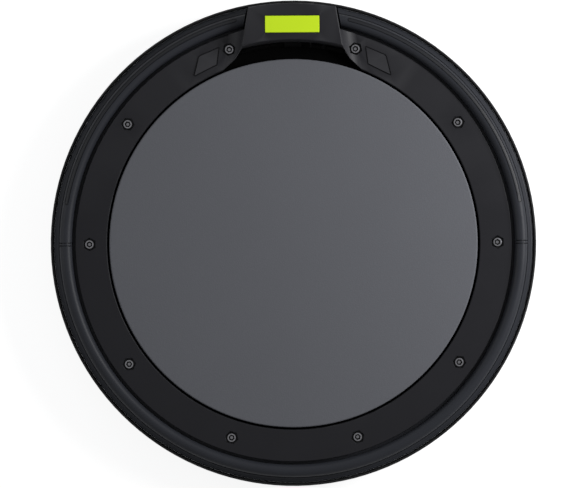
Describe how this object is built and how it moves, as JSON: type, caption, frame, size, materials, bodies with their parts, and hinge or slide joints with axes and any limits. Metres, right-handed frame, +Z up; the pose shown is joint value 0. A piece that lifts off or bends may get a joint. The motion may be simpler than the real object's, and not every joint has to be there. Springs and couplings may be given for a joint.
{
  "type": "practice pad",
  "caption": "Round drum practice pad: grey playing surface under a screwed clamp ring, rubber striking rim, raised housing with a badge plate, and head and rim sensors wired to an output jack.",
  "frame": {"origin": "centre of the pad on the plane of its rubber feet", "axes": "+Z up through the playing surface, +Y towards the raised housing and the output jack, +X to the player's right"},
  "size_m": [0.381, 0.381, 0.0472],
  "materials": {
    "shell_plastic": "moulded ABS, fine spark texture",
    "ring_plastic": "moulded ABS, satin",
    "badge_lime": "satin lime green, bare",
    "rim_rubber": "satin moulded rubber",
    "strip_rubber": "satin moulded rubber",
    "surface_rubber": "matte grey silicone rubber",
    "foam_black": "closed-cell foam",
    "plate_steel": "zinc plated",
    "screw_steel": "nickel plated",
    "insert_brass": "machined",
    "sensor_brass": "rolled",
    "sensor_ceramic": "silvered ceramic",
    "sensor_film": "polyester film",
    "jack_plastic": "moulded",
    "jack_nickel": "nickel plated",
    "board_laminate": "solder mask",
    "connector_nylon": "moulded nylon",
    "lead_sheath": "vinyl sheath",
    "feet_rubber": "moulded rubber"
  },
  "bodies": {
    "root": {"base_shell": "shell_plastic", "clamp_ring": "ring_plastic", "badge_plate": "badge_lime", "rubber_rim": "rim_rubber", "rim_strip_right": "strip_rubber", "rim_strip_left": "strip_rubber", "rim_film_sensor_right": "sensor_film", "rim_film_sensor_left": "sensor_film", "rim_carrier": "plate_steel", "playing_surface": "surface_rubber", "damping_foam": "foam_black", "backing_plate": "plate_steel", "plate_isolator": "foam_black", "sensor_pad": "foam_black", "piezo_disc": "sensor_brass", "piezo_ceramic": "sensor_ceramic", "ring_screws": "screw_steel", "threaded_inserts": "insert_brass", "stand_insert": "insert_brass", "rubber_feet": "feet_rubber", "jack_body": "jack_plastic", "jack_washer": "jack_nickel", "jack_nut": "jack_nickel", "circuit_board": "board_laminate", "board_screws": "screw_steel", "lead_connector": "connector_nylon", "head_sensor_lead": "lead_sheath", "jack_lead": "lead_sheath"}
  },
  "joints": []
}
